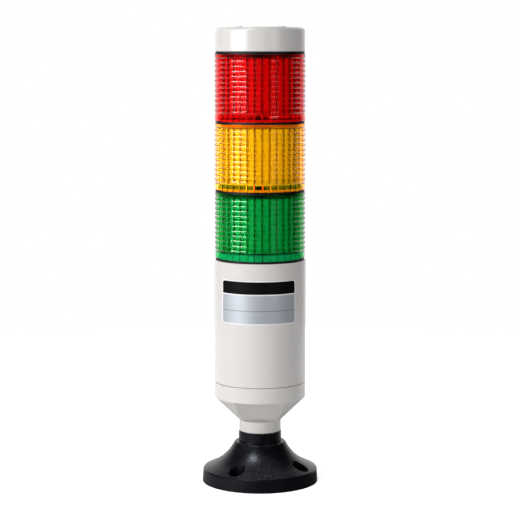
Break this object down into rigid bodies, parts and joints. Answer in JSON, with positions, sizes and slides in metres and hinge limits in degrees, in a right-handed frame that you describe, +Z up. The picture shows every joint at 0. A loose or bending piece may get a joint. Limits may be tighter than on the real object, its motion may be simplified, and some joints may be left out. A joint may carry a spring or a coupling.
{
  "type": "stack light",
  "caption": "Round signal tower with red, amber and green prism-ringed lenses, white housing and cap, on a black bell-shaped mounting base.",
  "frame": {"origin": "centre of the mounting base's underside, on the mounting surface", "axes": "+Z up along the tower, -Y towards the side with the label, +X to that side's right"},
  "size_m": [0.084, 0.084, 0.3296],
  "materials": {
    "housing_white": "satin moulded ABS",
    "base_black": "fine-grained moulding",
    "seal_rubber": "soft matte",
    "screw_steel": "zinc plated",
    "label_foil": "silvered polyester film",
    "board_laminate": "lacquered",
    "terminal_plastic": "moulded",
    "capacitor_can": "sleeved can",
    "relay_plastic": "moulded case",
    "wire_pvc": "insulation",
    "lens_green": "clear tinted acrylic",
    "lens_amber": "clear tinted acrylic",
    "lens_red": "clear tinted acrylic",
    "deck_black": "moulded",
    "reflector_white": "moulded",
    "lamp_frosted": "frosted"
  },
  "bodies": {
    "root": {"mounting_base": "base_black", "neck_collar": "base_black", "lock_washer": "screw_steel", "lock_nut": "screw_steel", "lower_housing": "housing_white", "body_housing": "housing_white", "housing_screws": "screw_steel", "rating_label": "label_foil", "control_board": "board_laminate", "terminal_block": "terminal_plastic", "terminal_screws": "screw_steel", "board_capacitors": "capacitor_can", "flasher_relay": "relay_plastic", "wire_header": "terminal_plastic", "lamp_wires": "wire_pvc", "seal_body_green": "seal_rubber", "lens_green": "lens_green", "deck_green": "deck_black", "reflector_green": "reflector_white", "socket_green": "reflector_white", "lamp_green": "lamp_frosted", "seal_green_amber": "seal_rubber", "lens_amber": "lens_amber", "deck_amber": "deck_black", "reflector_amber": "reflector_white", "socket_amber": "reflector_white", "lamp_amber": "lamp_frosted", "seal_amber_red": "seal_rubber", "lens_red": "lens_red", "deck_red": "deck_black", "reflector_red": "reflector_white", "socket_red": "reflector_white", "lamp_red": "lamp_frosted", "socket_screws": "screw_steel", "top_disc": "deck_black", "seal_red_cap": "seal_rubber", "top_cap": "housing_white"}
  },
  "joints": []
}
